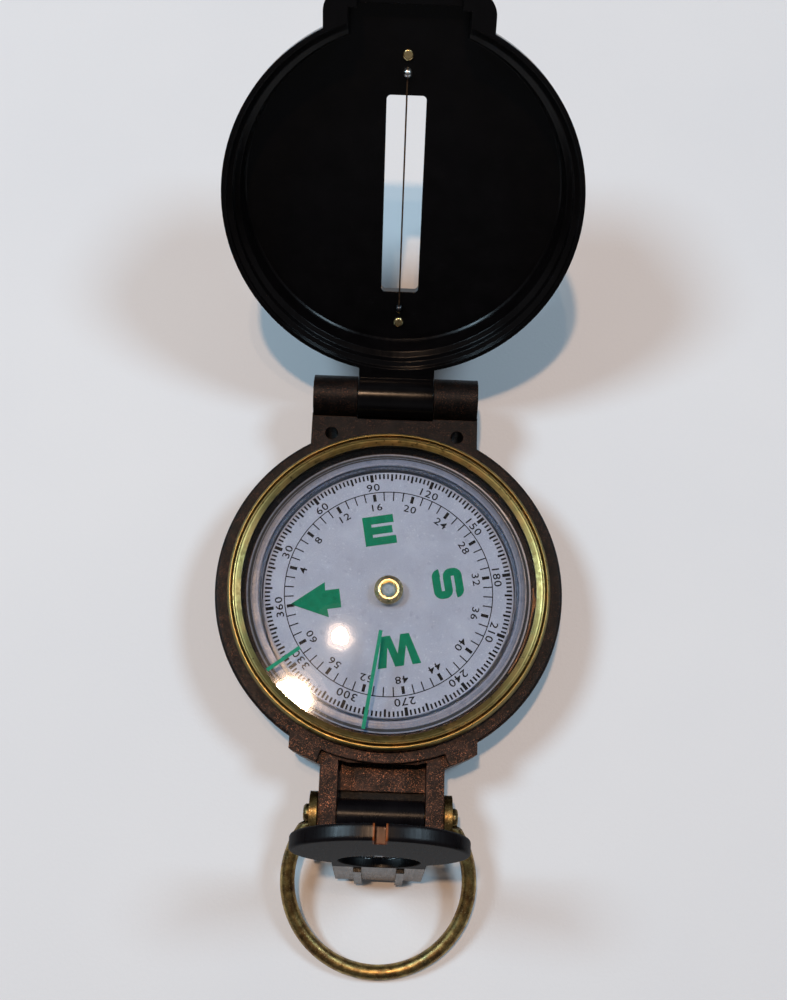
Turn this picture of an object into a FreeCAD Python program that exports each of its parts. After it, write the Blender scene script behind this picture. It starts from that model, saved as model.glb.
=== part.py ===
import FreeCAD, Part
import math
import os
import re
import Sketcher

# Folding sighting compass. Millimetres, +Z up, origin on the dial's axis at the surface that the case
# stands on, +Y towards the lid's hinge, -Y towards the thumb ring.
# The lid is drawn closed, the eyepiece upright and the ring level; their placements then turn them
# about their pins to the rest pose: lid half open, eyepiece leaning a little, ring on the surface.

os.makedirs("parts", exist_ok=True)
doc = FreeCAD.newDocument("SightingCompass")

DIMENSIONS = {
    # case
    "case_r": 27.3, "flange_r": 28.5, "lip_r": 28.0, "lip_turn": 41.0,
    "flange_low": 8.8, "case_top": 11.9, "case_chamfer": 0.6,
    "bore_r": 23.5, "bore_floor": 1.6, "ledge_r": 25.7, "ledge_z": 10.2,
    "snap_groove_r": 26.0, "snap_groove_low": 11.2, "snap_groove_high": 11.6,
    "shoulder_r": 30.1, "shoulder_out": 14.85, "shoulder_low": 3.0, "shoulder_back": 15.0,
    "arm_in": 7.0, "arm_out": 9.85, "arm_low": 3.0, "arm_top": 10.4, "arm_tip": 40.2, "arm_round": 2.6,
    "shoulder_block_half": 40.0, "shoulder_block_tip": 32.0,
    "floor_tip": 32.15, "floor_top": 6.0, "apron_tip": 38.4, "apron_top": 4.9,
    "undercut_y": 25.9, "undercut_top": 9.4,
    "lug_half": 14.15, "lug_tip": 30.2, "lug_low": 4.5, "lug_back": 20.0,
    "lug_hole_x": 10.7, "lug_hole_y": 26.6, "lug_hole_r": 1.1,
    # lid hinge
    "hinge_y": 33.33, "hinge_z": 11.63, "barrel_r": 3.65, "barrel_in": 6.55, "barrel_out": 14.0,
    "barrel_gap_r": 4.0, "web_low": 5.0, "web_tip": 35.4, "web_tip_z": 8.7, "web_foot": 31.6,
    "lid_pin_r": 1.0, "lid_pin_bore_case": 1.02, "lid_pin_bore_lid": 1.07, "lid_pin_half": 13.8,
    # capsule
    "capsule_r": 23.4, "capsule_low": 1.7, "capsule_rim": 10.3, "capsule_floor": 2.9,
    "capsule_bore_r": 21.5, "capsule_cover_top": 11.7, "capsule_bevel": 1.0, "capsule_cover_edge": 10.8,
    "capsule_cover_low": 10.7, "cover_skirt_in": 20.95, "cover_skirt_out": 21.45, "cover_skirt_low": 9.6,
    "seal_in": 22.5, "seal_out": 23.0, "seal_low": 9.95,
    "post_foot_r": 2.6, "post_foot_top": 3.5, "post_r": 0.7, "post_cone_z": 8.3, "post_tip_z": 9.15,
    # dial
    "dial_r": 20.85, "dial_low": 7.8, "dial_top": 8.2,
    "hub_r": 1.9, "hub_rim_r": 2.4, "hub_low": 7.0, "hub_rim_low": 9.7, "hub_rim_edge": 9.95,
    "hub_top": 10.5, "hub_bore_r": 1.15, "hub_mouth_r": 1.45,
    "jewel_r": 1.13, "jewel_low": 9.0, "jewel_top": 10.1, "jewel_cup_r": 0.5, "jewel_cup_z": 9.2,
    "magnet_r": 7.5, "magnet_in": 2.6, "magnet_low": 6.4, "magnet_top": 7.8,
    # bezel
    "bezel_r": 26.3, "bezel_low": 12.1, "bezel_top": 14.31, "bezel_shoulder": 13.3,
    "bezel_skirt_in": 24.7, "bezel_skirt_out": 25.6, "bezel_skirt_low": 10.45,
    "bezel_groove_r": 25.3, "bezel_groove_low": 11.1, "bezel_groove_high": 11.7,
    "bezel_lip_r": 24.0, "bezel_lip_low": 13.55, "bezel_lip_top": 13.8,
    "crystal_r": 24.65, "crystal_low": 12.6, "crystal_top": 13.55,
    "knurl_count": 120, "knurl_r": 0.28, "knurl_top": 13.1,
    "snap_ring_in": 25.36, "snap_ring_out": 25.95, "snap_ring_low": 11.25, "snap_ring_high": 11.55,
    "line_width": 0.6, "line_thick": 0.06,
    "long_line_in": 7.4, "long_line_out": 23.2, "long_line_turn": 262.0,
    "short_line_in": 17.4, "short_line_out": 23.7, "short_line_turn": 217.3,
    "click_in": 23.62, "click_out": 23.84, "click_low": 10.3, "click_high": 11.5,
    "click_start": -34.0, "click_end": 2.0, "click_bump_turn": -4.0, "click_bump_r": 24.55,
    "click_bump_half": 1.4,
    # lid
    "lid_r": 28.63, "lid_rim_z": 12.05, "lid_depth": 7.5, "lid_skin": 1.8, "lid_open": 132.24,
    "lid_lip_r": 27.9, "lid_lip_depth": 0.9, "lid_step_r": 27.0, "lid_step_depth": 2.8, "lid_in_r": 26.1,
    "tab_half": 12.6, "tab_tip": 31.2, "tab_in_half": 9.0, "tab_in_tip": 28.6, "tab_round": 3.2,
    "tab_door_half": 7.7, "tab_door_depth": 5.6,
    "lid_round": 2.2, "lid_back_r": 27.4, "lid_taper_depth": 2.0,
    "slot_half": 3.14, "slot_front": 15.33, "slot_back": 16.85, "slot_round": 0.7,
    "neck_half": 6.42, "neck_top": 3.3,
    "wire_r": 0.14, "bead_front": 18.7, "bead_back": 19.7, "bead_r": 0.75,
    "wire_pin_front": 21.3, "wire_pin_back": 22.3, "wire_pin_r": 0.6, "wire_pin_head_r": 0.85,
    "wire_pin_head": 0.5, "wire_pin_round": 0.3, "wire_lift": 0.45, "bead_box": 4.0,
    # eyepiece
    "pivot_y": -35.84, "pivot_z": 8.0, "eye_lean": 9.0,
    "eye_out": 9.0, "eye_thick": 2.2, "eye_disc_r": 12.4, "eye_disc_up": 22.5,
    "eye_half": 6.85, "eye_low": 6.5, "eye_barrel_r": 2.4, "eye_shelf_low": 1.9, "eye_shelf_high": 1.4,
    "eye_lens_up": 15.0, "eye_lens_r": 5.95, "eye_seat_r": 6.55, "eye_seat": 1.0,
    "eye_notch_half": 0.75, "eye_notch_up": 3.2,
    "eye_rib_x": 3.2, "eye_rib_half": 0.6, "eye_rib_out": 0.6, "eye_rib_root": 0.5,
    "eye_rib_high": 7.6, "eye_rib_low": 7.3,
    "lens_r": 6.45, "lens_crown_r": 5.15, "lens_edge": 0.5, "lens_crown": 0.3,
    "lens_ring_in": 5.6, "lens_ring_thick": 0.4, "lens_gap": 0.05,
    # common pin and thumb ring
    "pin_r": 1.1, "pin_bore_case": 1.12, "pin_bore_loose": 1.17, "pin_head_r": 1.45, "pin_head": 0.9,
    "ring_wire_r": 1.16, "ring_mid_r": 14.35, "ring_centre": 10.35, "ring_droop": 16.0,
    "eye_plate_r": 3.4, "ring_plate_in": 9.95, "ring_plate_out": 11.2, "ring_head_room_r": 1.8,
    "ring_waist": 5.0, "ring_waist_far": 6.4, "ring_waist_more": 0.8,
    "ring_cut_back": 0.6, "ring_between": 5.2,
}

sheet = doc.addObject("Spreadsheet::Sheet", "Dims")
for row, (word, size) in enumerate(DIMENSIONS.items(), start=1):
    sheet.set(f"A{row}", word)
    sheet.set(f"B{row}", str(size))
    sheet.setAlias(f"B{row}", word)
doc.recompute()

TINY = 1e-4
WORD = re.compile(r"\b[a-z]\w*\b(?!\()")


def bound(text):
    """A dimension text, such as "case_top - 1", as an expression on the sheet."""
    return WORD.sub(lambda match: "Dims." + match.group(0), text)


def number(text):
    """The present value of a dimension text."""
    return float(sheet.evalExpression(bound(text)))


def bind(obj, prop, text):
    obj.setExpression(prop, bound(text))


def new_body(label):
    body = doc.addObject("PartDesign::Body", label)
    body.Label = label
    return body


def origin_item(body, role):
    return next(item for item in body.Origin.OriginFeatures if item.Role == role)


def new_sketch(body, plane, lift="0"):
    """A sketch on one of the body's own origin planes, raised along the plane's normal."""
    sketch = body.newObject("Sketcher::SketchObject", body.Label + "_sketch")
    sketch.AttachmentSupport = (origin_item(body, plane + "_Plane"), [""])
    sketch.MapMode = "FlatFace"
    if lift != "0":
        bind(sketch, "AttachmentOffset.Base.z", lift)
    return sketch


def pin_point(sketch, shape, end, across, up):
    """Hold one point of a sketch at a place given by two dimension texts."""
    for kind, axis, text in (("DistanceX", -2, across), ("DistanceY", -1, up)):
        if number(text) == 0:
            sketch.addConstraint(Sketcher.Constraint("PointOnObject", shape, end, axis))
            continue
        index = sketch.addConstraint(Sketcher.Constraint(kind, -1, 1, shape, end, number(text)))
        bind(sketch, f"Constraints[{index}]", text)


def add_outline(sketch, points):
    """A closed outline of straight sides, each corner held by two dimension texts."""
    first = sketch.GeometryCount
    spots = [FreeCAD.Vector(number(across), number(up), 0) for across, up in points]
    for start, end in zip(spots, spots[1:] + spots[:1]):
        sketch.addGeometry(Part.LineSegment(start, end), False)
    for step in range(len(points)):
        follower = first + (step + 1) % len(points)
        sketch.addConstraint(Sketcher.Constraint("Coincident", first + step, 2, follower, 1))
    for step, (across, up) in enumerate(points):
        pin_point(sketch, first + step, 1, across, up)


def add_box(sketch, left, right, low, high):
    add_outline(sketch, [(left, low), (right, low), (right, high), (left, high)])


def add_circle(sketch, across, up, radius):
    centre = FreeCAD.Vector(number(across), number(up), 0)
    circle = Part.Circle(centre, FreeCAD.Vector(0, 0, 1), number(radius))
    index = sketch.addGeometry(circle, False)
    pin_point(sketch, index, 3, across, up)
    size = sketch.addConstraint(Sketcher.Constraint("Radius", index, number(radius)))
    bind(sketch, f"Constraints[{size}]", radius)


def settle(feature):
    """Recompute, and stop at once if the feature failed."""
    doc.recompute()
    if "Invalid" in feature.State or "Error" in feature.State:
        raise RuntimeError(feature.Name + " did not compute")
    return feature


def turned(body, points, kind="PartDesign::Revolution", plane="XZ", angle=None):
    """A full turn of an outline of (radius, height) about the vertical axis."""
    sketch = new_sketch(body, plane)
    add_outline(sketch, points)
    feature = body.newObject(kind, body.Label + "_turn")
    feature.Profile = sketch
    feature.ReferenceAxis = (sketch, ["V_Axis"])
    feature.Angle = 360.0
    if angle:
        bind(feature, "Angle", angle)
        feature.Midplane = True
    return settle(feature)


def raised(body, sketch, length):
    """A pad away from the sketch's plane, along its normal."""
    pad = body.newObject("PartDesign::Pad", body.Label + "_pad")
    pad.Profile = sketch
    bind(pad, "Length", length)
    return settle(pad)


def across_pad(body, sketch, length):
    """A pad centred on the sketch's plane."""
    pad = body.newObject("PartDesign::Pad", body.Label + "_pad")
    pad.Profile = sketch
    pad.Midplane = True
    bind(pad, "Length", length)
    return settle(pad)


def cut(body, sketch, length, centred=False, backwards=False):
    """A pocket along the sketch's normal, or against it, checked to take something away."""
    before = body.Shape.Volume
    pocket = body.newObject("PartDesign::Pocket", body.Label + "_pocket")
    pocket.Profile = sketch
    pocket.Reversed = not backwards
    pocket.Midplane = centred
    bind(pocket, "Length", length)
    settle(pocket)
    if not body.Shape.Volume < before - TINY:
        raise RuntimeError(body.Label + ": a pocket cut nothing")
    return pocket


def rounded(body, radius, test, kind="PartDesign::Fillet"):
    """Round or chamfer the edges whose middle passes the test."""
    base = body.Tip
    names = [f"Edge{place}" for place, edge in enumerate(base.Shape.Edges, start=1) if test(edge)]
    if not names:
        raise RuntimeError(body.Label + ": no edge to round")
    feature = body.newObject(kind, body.Label + "_round")
    feature.Base = (base, names)
    bind(feature, "Radius" if kind.endswith("Fillet") else "Size", radius)
    return settle(feature)


def middle(edge):
    return edge.valueAt((edge.FirstParameter + edge.LastParameter) / 2)


def straight_along(edge, axis):
    """True for a straight edge along one axis, named x, y or z."""
    if not isinstance(edge.Curve, (Part.Line, Part.LineSegment)):
        return False
    return abs(abs(getattr(edge.tangentAt(edge.FirstParameter), axis)) - 1) < TINY


def round_edge_at(edge, radius, height):
    """True for a circle about the dial's axis with this radius and height."""
    if not isinstance(edge.Curve, Part.Circle):
        return False
    centre = edge.Curve.Center
    on_axis = math.hypot(centre.x, centre.y) < TINY
    right_size = abs(edge.Curve.Radius - number(radius)) < TINY
    return on_axis and right_size and abs(centre.z - number(height)) < TINY


def turn_about_x(obj, angle, height_y, height_z):
    """Turn a sub-part about a line along X."""
    axis = FreeCAD.Vector(1, 0, 0)
    centre = FreeCAD.Vector(0, number(height_y), number(height_z))
    obj.Placement = FreeCAD.Placement(FreeCAD.Vector(), FreeCAD.Rotation(axis, number(angle)), centre)


# ---------------------------------------------------------------- case

def make_base_case():
    """The cast case: a round cup, two front arms with shoulders, and a rear lug with hinge barrels."""
    body = new_body("base_case")
    shoulders = new_sketch(body, "XY", "shoulder_low")
    add_circle(shoulders, "0", "0", "shoulder_r")
    raised(body, shoulders, "case_top - shoulder_low")
    keep = new_sketch(body, "XY", "shoulder_low - 1")
    add_box(keep, "0 - shoulder_block_half", "shoulder_block_half",
            "0 - shoulder_block_half", "shoulder_block_half")
    for left, right in (("arm_in", "shoulder_out"), ("0 - shoulder_out", "0 - arm_in")):
        add_box(keep, left, right, "0 - shoulder_block_tip", "0 - shoulder_back")
    cut(body, keep, "case_top")
    turned(body, [
        ("0", "0"), ("case_r - case_chamfer", "0"), ("case_r", "case_chamfer"), ("case_r", "flange_low"),
        ("flange_r", "flange_low + 0.5"), ("flange_r", "case_top"), ("0", "case_top")])
    for left, right in (("arm_in", "arm_out"), ("0 - arm_out", "0 - arm_in")):
        arm = new_sketch(body, "XY", "arm_low")
        add_box(arm, left, right, "0 - arm_tip", "0 - shoulder_back")
        raised(body, arm, "arm_top - arm_low")
    lug = new_sketch(body, "XY", "lug_low")
    add_box(lug, "0 - lug_half", "lug_half", "lug_back", "lug_tip")
    raised(body, lug, "case_top - lug_low")
    for side in (1, -1):
        start = "barrel_in" if side == 1 else "0 - barrel_out"
        web = new_sketch(body, "YZ", start)
        add_outline(web, [
            ("lug_back", "web_low"), ("web_foot", "web_low"), ("web_tip", "web_tip_z"),
            ("hinge_y", "hinge_z"), ("lug_tip", "case_top"), ("lug_back", "case_top")])
        raised(body, web, "barrel_out - barrel_in")
        barrel = new_sketch(body, "YZ", start)
        add_circle(barrel, "hinge_y", "hinge_z", "barrel_r")
        raised(body, barrel, "barrel_out - barrel_in")
    floor = new_sketch(body, "XY", "arm_low")
    add_box(floor, "0 - arm_in - 0.5", "arm_in + 0.5", "0 - floor_tip", "0 - shoulder_back")
    raised(body, floor, "floor_top - arm_low")
    # the bore for the capsule, the ledge for the bezel and the snap ring's groove
    turned(body, [
        ("0", "bore_floor"), ("bore_r", "bore_floor"), ("bore_r", "ledge_z"), ("ledge_r", "ledge_z"),
        ("ledge_r", "snap_groove_low"), ("snap_groove_r", "snap_groove_low"),
        ("snap_groove_r", "snap_groove_high"), ("ledge_r", "snap_groove_high"),
        ("ledge_r", "case_top + 1"), ("0", "case_top + 1")], kind="PartDesign::Groove")
    # the flange is trimmed to a lip between the arms, and undercut there
    turned(body, [
        ("0 - lip_r", "arm_top"), ("0 - lip_r - 3", "arm_top"),
        ("0 - lip_r - 3", "case_top + 1"), ("0 - lip_r", "case_top + 1")],
        kind="PartDesign::Groove", plane="YZ", angle="lip_turn")
    under = new_sketch(body, "XY", "floor_top")
    add_box(under, "0 - arm_in", "arm_in", "0 - lip_r - 6", "0 - undercut_y")
    cut(body, under, "undercut_top - floor_top")
    front = new_sketch(body, "XY", "undercut_top")
    add_box(front, "0 - arm_in", "arm_in", "0 - lip_r - 6", "0 - lip_r")
    cut(body, front, "case_top - undercut_top + 1")
    gap = new_sketch(body, "YZ")
    add_circle(gap, "hinge_y", "hinge_z", "barrel_gap_r")
    cut(body, gap, "2 * barrel_in", centred=True)
    holes = new_sketch(body, "XY", "0")
    for side in ("", "0 - "):
        add_circle(holes, side + "lug_hole_x", "lug_hole_y", "lug_hole_r")
    cut(body, holes, "case_top + 1")
    for spot_y, spot_z, radius in (("hinge_y", "hinge_z", "lid_pin_bore_case"),
                                   ("pivot_y", "pivot_z", "pin_bore_case")):
        bore = new_sketch(body, "YZ")
        add_circle(bore, spot_y, spot_z, radius)
        cut(body, bore, "2 * barrel_out + 4", centred=True)
    rounded(body, "arm_round", lambda edge: straight_along(edge, "x")
            and abs(middle(edge).y + number("arm_tip")) < TINY)
    rounded(body, "0.5", lambda edge: round_edge_at(edge, "flange_r", "case_top")
            or round_edge_at(edge, "shoulder_r", "shoulder_low"))
    apron = new_sketch(body, "XY", "arm_low")
    add_box(apron, "0 - arm_in - 0.5", "arm_in + 0.5", "0 - apron_tip", "0 - floor_tip + 1")
    raised(body, apron, "apron_top - arm_low")


def make_lid_hinge_pin():
    body = new_body("lid_hinge_pin")
    rod = new_sketch(body, "YZ")
    add_circle(rod, "hinge_y", "hinge_z", "lid_pin_r")
    across_pad(body, rod, "2 * lid_pin_half")
    rounded(body, "0.2", lambda edge: isinstance(edge.Curve, Part.Circle), "PartDesign::Chamfer")


def make_pivot_pin():
    """The pin through both arms, the eyepiece and the ring's eyes, with a formed head at each end."""
    body = new_body("eyepiece_and_ring_pin")
    rod = new_sketch(body, "YZ")
    add_circle(rod, "pivot_y", "pivot_z", "pin_r")
    across_pad(body, rod, "2 * ring_plate_out + 0.3")
    for start in ("ring_plate_out + 0.1", "0 - ring_plate_out - 0.1 - pin_head"):
        head = new_sketch(body, "YZ", start)
        add_circle(head, "pivot_y", "pivot_z", "pin_head_r")
        raised(body, head, "pin_head")
    outer = number("ring_plate_out + 0.1 + pin_head")
    rounded(body, "0.6", lambda edge: isinstance(edge.Curve, Part.Circle)
            and abs(abs(edge.Curve.Center.x) - outer) < TINY)


# ---------------------------------------------------------------- capsule

def make_capsule():
    """The cup and clear cover that hold the dial, the seal between them and the pivot post."""
    cup = new_body("capsule_cup")
    turned(cup, [
        ("0", "capsule_low"), ("capsule_r - 0.5", "capsule_low"), ("capsule_r", "capsule_low + 0.5"),
        ("capsule_r", "capsule_rim"), ("seal_out", "capsule_rim"), ("seal_out", "seal_low"),
        ("seal_in", "seal_low"), ("seal_in", "capsule_rim"), ("capsule_bore_r", "capsule_rim"),
        ("capsule_bore_r", "capsule_floor"), ("0", "capsule_floor")])
    seal = new_body("capsule_seal")
    turned(seal, [("seal_in", "seal_low"), ("seal_out", "seal_low"),
                  ("seal_out", "capsule_rim"), ("seal_in", "capsule_rim")])
    cover = new_body("capsule_cover")
    turned(cover, [
        ("0", "capsule_cover_low"), ("cover_skirt_in", "capsule_cover_low"),
        ("cover_skirt_in", "cover_skirt_low"), ("cover_skirt_out", "cover_skirt_low"),
        ("cover_skirt_out", "capsule_rim"), ("capsule_r", "capsule_rim"),
        ("capsule_r", "capsule_cover_edge"), ("capsule_r - capsule_bevel", "capsule_cover_top"),
        ("0", "capsule_cover_top")])
    post = new_body("pivot_post")
    turned(post, [
        ("0", "capsule_floor"), ("post_foot_r", "capsule_floor"), ("post_foot_r", "post_foot_top"),
        ("post_r", "post_foot_top"), ("post_r", "post_cone_z"), ("0", "post_tip_z")])


# ---------------------------------------------------------------- dial

def make_dial():
    card = new_body("dial_card")
    turned(card, [("hub_r", "dial_low"), ("dial_r", "dial_low"),
                  ("dial_r", "dial_top"), ("hub_r", "dial_top")])
    hub = new_body("dial_hub")
    turned(hub, [
        ("hub_bore_r", "hub_low"), ("hub_rim_r", "hub_low"), ("hub_rim_r", "dial_low"),
        ("hub_r", "dial_low"), ("hub_r", "hub_rim_low"), ("hub_rim_r", "hub_rim_low"),
        ("hub_rim_r", "hub_rim_edge"), ("hub_mouth_r + 0.25", "hub_top"), ("hub_mouth_r", "hub_top"),
        ("hub_bore_r", "jewel_top")])
    jewel = new_body("dial_jewel")
    turned(jewel, [
        ("0", "jewel_cup_z"), ("jewel_cup_r", "jewel_low"), ("jewel_r", "jewel_low"),
        ("jewel_r", "jewel_top - 0.25"), ("jewel_r - 0.4", "jewel_top"), ("0", "jewel_top")])
    magnet = new_body("dial_magnet")
    turned(magnet, [("magnet_in", "magnet_low"), ("magnet_r", "magnet_low"),
                    ("magnet_r", "magnet_top"), ("magnet_in", "magnet_top")])


# ---------------------------------------------------------------- bezel

def make_bezel():
    """The turning bezel: a grooved ring with a knurled edge, the crystal and its two index lines."""
    ring = new_body("bezel_ring")
    turned(ring, [
        ("bezel_skirt_in", "bezel_skirt_low"), ("bezel_skirt_out", "bezel_skirt_low"),
        ("bezel_skirt_out", "bezel_groove_low"), ("bezel_groove_r", "bezel_groove_low"),
        ("bezel_groove_r", "bezel_groove_high"), ("bezel_skirt_out", "bezel_groove_high"),
        ("bezel_skirt_out", "bezel_low"), ("bezel_r", "bezel_low"), ("bezel_r", "bezel_shoulder"),
        ("bezel_r - 0.12", "bezel_shoulder + 0.45"), ("bezel_r - 0.3", "bezel_top - 0.12"),
        ("bezel_r - 0.5", "bezel_top"), ("bezel_r - 0.65", "bezel_top"),
        ("bezel_r - 0.85", "bezel_top - 0.38"), ("bezel_r - 1.05", "bezel_top - 0.05"),
        ("bezel_r - 1.2", "bezel_top - 0.02"), ("bezel_r - 1.35", "bezel_top - 0.16"),
        ("bezel_lip_r", "bezel_lip_top"), ("bezel_lip_r", "bezel_lip_low"),
        ("bezel_skirt_in", "bezel_lip_low")])
    notch = new_sketch(ring, "XY", "bezel_low")
    add_circle(notch, "bezel_r + 0.12", "0", "knurl_r")
    pocket = cut(ring, notch, "knurl_top - bezel_low")
    pattern = ring.newObject("PartDesign::PolarPattern", "bezel_knurl")
    pattern.Originals = [pocket]
    pattern.Axis = (notch, ["N_Axis"])
    pattern.Angle = 360.0
    bind(pattern, "Occurrences", "knurl_count")
    ring.Tip = pattern
    doc.recompute()
    crystal = new_body("crystal")
    turned(crystal, [("0", "crystal_low"), ("crystal_r", "crystal_low"),
                     ("crystal_r", "crystal_top"), ("0", "crystal_top")])


def make_index_lines():
    """Two painted lines on the crystal, each a thin strip that points at the dial's axis."""
    strips = []
    for name in ("long_line", "short_line"):
        strip = doc.addObject("Part::Box", name)
        bind(strip, "Length", f"{name}_out - {name}_in")
        bind(strip, "Width", "line_width")
        bind(strip, "Height", "line_thick")
        start = FreeCAD.Vector(number(f"{name}_in"), -number("line_width") / 2, number("crystal_top"))
        turn = FreeCAD.Rotation(FreeCAD.Vector(0, 0, 1), number(f"{name}_turn"))
        strip.Placement = FreeCAD.Placement(turn.multVec(start), turn)
        strips.append(strip)
    lines = doc.addObject("Part::Compound", "index_lines")
    lines.Links = strips
    lines.Label = "index_lines"


def make_snap_ring():
    """The split ring that sits half in the case's groove and half in the bezel's."""
    body = new_body("bezel_snap_ring")
    turned(body, [("snap_ring_in", "snap_ring_low"), ("snap_ring_out", "snap_ring_low"),
                  ("snap_ring_out", "snap_ring_high"), ("snap_ring_in", "snap_ring_high")])
    split = new_sketch(body, "XY", "snap_ring_low - 1")
    add_box(split, "0 - 1.2", "1.2", "snap_ring_in - 2", "snap_ring_out + 2")
    cut(body, split, "3")


def make_click_spring():
    """A thin arc of spring strip round the capsule, with a bump that bears on the bezel's skirt."""
    inner, outer = number("click_in"), number("click_out")
    start, end = math.radians(number("click_start")), math.radians(number("click_end"))
    bump, reach = math.radians(number("click_bump_turn")), number("click_bump_r")
    half = number("click_bump_half") / outer

    def spot(radius, turn):
        return FreeCAD.Vector(radius * math.cos(turn), radius * math.sin(turn), number("click_low"))

    def arc(radius, first, last):
        return Part.Arc(spot(radius, first), spot(radius, (first + last) / 2), spot(radius, last)).toShape()

    edges = [
        arc(outer, start, bump - half),
        Part.LineSegment(spot(outer, bump - half), spot(reach, bump)).toShape(),
        Part.LineSegment(spot(reach, bump), spot(outer, bump + half)).toShape(),
        arc(outer, bump + half, end),
        Part.LineSegment(spot(outer, end), spot(inner, end)).toShape(),
        arc(inner, end, start),
        Part.LineSegment(spot(inner, start), spot(outer, start)).toShape(),
    ]
    face = Part.Face(Part.Wire(edges))
    spring = doc.addObject("Part::Feature", "bezel_click_spring")
    spring.Label = "bezel_click_spring"
    spring.Shape = face.extrude(FreeCAD.Vector(0, 0, number("click_high - click_low")))


# ---------------------------------------------------------------- lid

def make_lid_cover():
    """The domed cover, drawn closed: stepped rim, tab pocket, sight slot, neck and hinge barrel."""
    body = new_body("lid_cover")
    top = "lid_rim_z + lid_depth + lid_skin"
    turned(body, [("0", "lid_rim_z"), ("lid_r", "lid_rim_z"), ("lid_r", "lid_rim_z + lid_taper_depth"),
                  ("lid_back_r", top), ("0", top)])
    tab = new_sketch(body, "XY", "lid_rim_z")
    add_box(tab, "0 - tab_half", "tab_half", "0 - tab_tip", "0 - 15")
    raised(body, tab, "lid_depth + lid_skin")
    rounded(body, "tab_round", lambda edge: straight_along(edge, "z")
            and abs(middle(edge).y + number("tab_tip")) < TINY)
    neck = new_sketch(body, "YZ")
    add_outline(neck, [
        ("lid_in_r + 1", "lid_rim_z"), ("hinge_y", "lid_rim_z"),
        ("hinge_y + 1", "lid_rim_z + neck_top"), ("lid_in_r + 1", "lid_rim_z + neck_top + 1")])
    across_pad(body, neck, "2 * neck_half")
    barrel = new_sketch(body, "YZ")
    add_circle(barrel, "hinge_y", "hinge_z", "barrel_r")
    across_pad(body, barrel, "2 * neck_half")
    inside = "lid_rim_z + lid_depth"
    turned(body, [
        ("0", "lid_rim_z - 1"), ("lid_lip_r", "lid_rim_z - 1"), ("lid_lip_r", "lid_rim_z + lid_lip_depth"),
        ("lid_step_r", "lid_rim_z + lid_lip_depth + 0.3"), ("lid_step_r", "lid_rim_z + lid_step_depth"),
        ("lid_in_r", "lid_rim_z + lid_step_depth + 0.5"), ("lid_in_r - 0.3", inside + " - 0.3"),
        ("lid_in_r - 0.6", inside), ("0", inside)], kind="PartDesign::Groove")
    pocket = new_sketch(body, "XY", "lid_rim_z - 1")
    add_box(pocket, "0 - tab_in_half", "tab_in_half", "0 - tab_in_tip", "0 - 15")
    cut(body, pocket, "lid_depth + 1")
    door = new_sketch(body, "XY", "lid_rim_z - 1")
    add_box(door, "0 - tab_door_half", "tab_door_half", "0 - tab_tip - 2", "0 - 15")
    cut(body, door, "tab_door_depth + 1")
    slot = new_sketch(body, "XY", "lid_rim_z")
    add_box(slot, "0 - slot_half", "slot_half", "0 - slot_front", "slot_back")
    cut(body, slot, "lid_depth + lid_skin + 2")
    rounded(body, "slot_round", lambda edge: straight_along(edge, "z")
            and abs(abs(middle(edge).x) - number("slot_half")) < TINY)
    for spot in ("0 - wire_pin_front", "wire_pin_back"):
        hole = new_sketch(body, "XY", "lid_rim_z")
        add_circle(hole, "0", spot, "wire_pin_r")
        cut(body, hole, "lid_depth + lid_skin + 2")
    bore = new_sketch(body, "YZ")
    add_circle(bore, "hinge_y", "hinge_z", "lid_pin_bore_lid")
    cut(body, bore, "2 * neck_half + 2", centred=True)
    rounded(body, "lid_round", lambda edge: abs(edge.BoundBox.ZMin - number(top)) < TINY
            and abs(edge.BoundBox.ZMax - number(top)) < TINY
            and math.hypot(middle(edge).x, middle(edge).y) > number("lid_in_r"))
    return body


def make_sight_wire():
    """The sighting wire across the slot, its two crimped beads and the two pins that hold its ends."""
    floor_z = number("lid_rim_z + lid_depth")
    wire_z = floor_z - number("wire_lift")
    front, back = -number("bead_front"), number("bead_back")
    down = FreeCAD.Vector(0, 0, -1)
    wire = doc.addObject("Part::Feature", "sight_wire")
    wire.Label = "sight_wire"
    size, box = number("bead_r"), number("bead_box")
    start = FreeCAD.Vector(0, front + size, wire_z)
    wire.Shape = Part.makeCylinder(number("wire_r"), back - front - 2 * size, start, FreeCAD.Vector(0, 1, 0))
    beads = doc.addObject("Part::Feature", "wire_beads")
    beads.Label = "wire_beads"
    shapes = []
    for place in (front, back):
        ball = Part.makeSphere(size, FreeCAD.Vector(0, place, wire_z))
        corner = FreeCAD.Vector(-box / 2, place - box / 2, wire_z - size)
        keep = Part.makeBox(box, box, size + floor_z - wire_z, corner)
        shapes.append(ball.common(keep))
    beads.Shape = Part.makeCompound(shapes)
    pins = doc.addObject("Part::Feature", "wire_pins")
    pins.Label = "wire_pins"
    shapes = []
    shank = number("lid_skin")
    for place in (-number("wire_pin_front"), number("wire_pin_back")):
        foot = FreeCAD.Vector(0, place, floor_z + shank)
        rod = Part.makeCylinder(number("wire_pin_r"), shank, foot, down)
        head = Part.makeCylinder(number("wire_pin_head_r"), number("wire_pin_head"),
                                 FreeCAD.Vector(0, place, floor_z), down)
        pin = rod.fuse(head).removeSplitter()
        rim = [edge for edge in pin.Edges if isinstance(edge.Curve, Part.Circle)
               and abs(edge.Curve.Center.z - floor_z + number("wire_pin_head")) < TINY]
        shapes.append(pin.makeFillet(number("wire_pin_round"), rim))
    pins.Shape = Part.makeCompound(shapes)
    return [wire, beads, pins]


# ---------------------------------------------------------------- eyepiece

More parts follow.
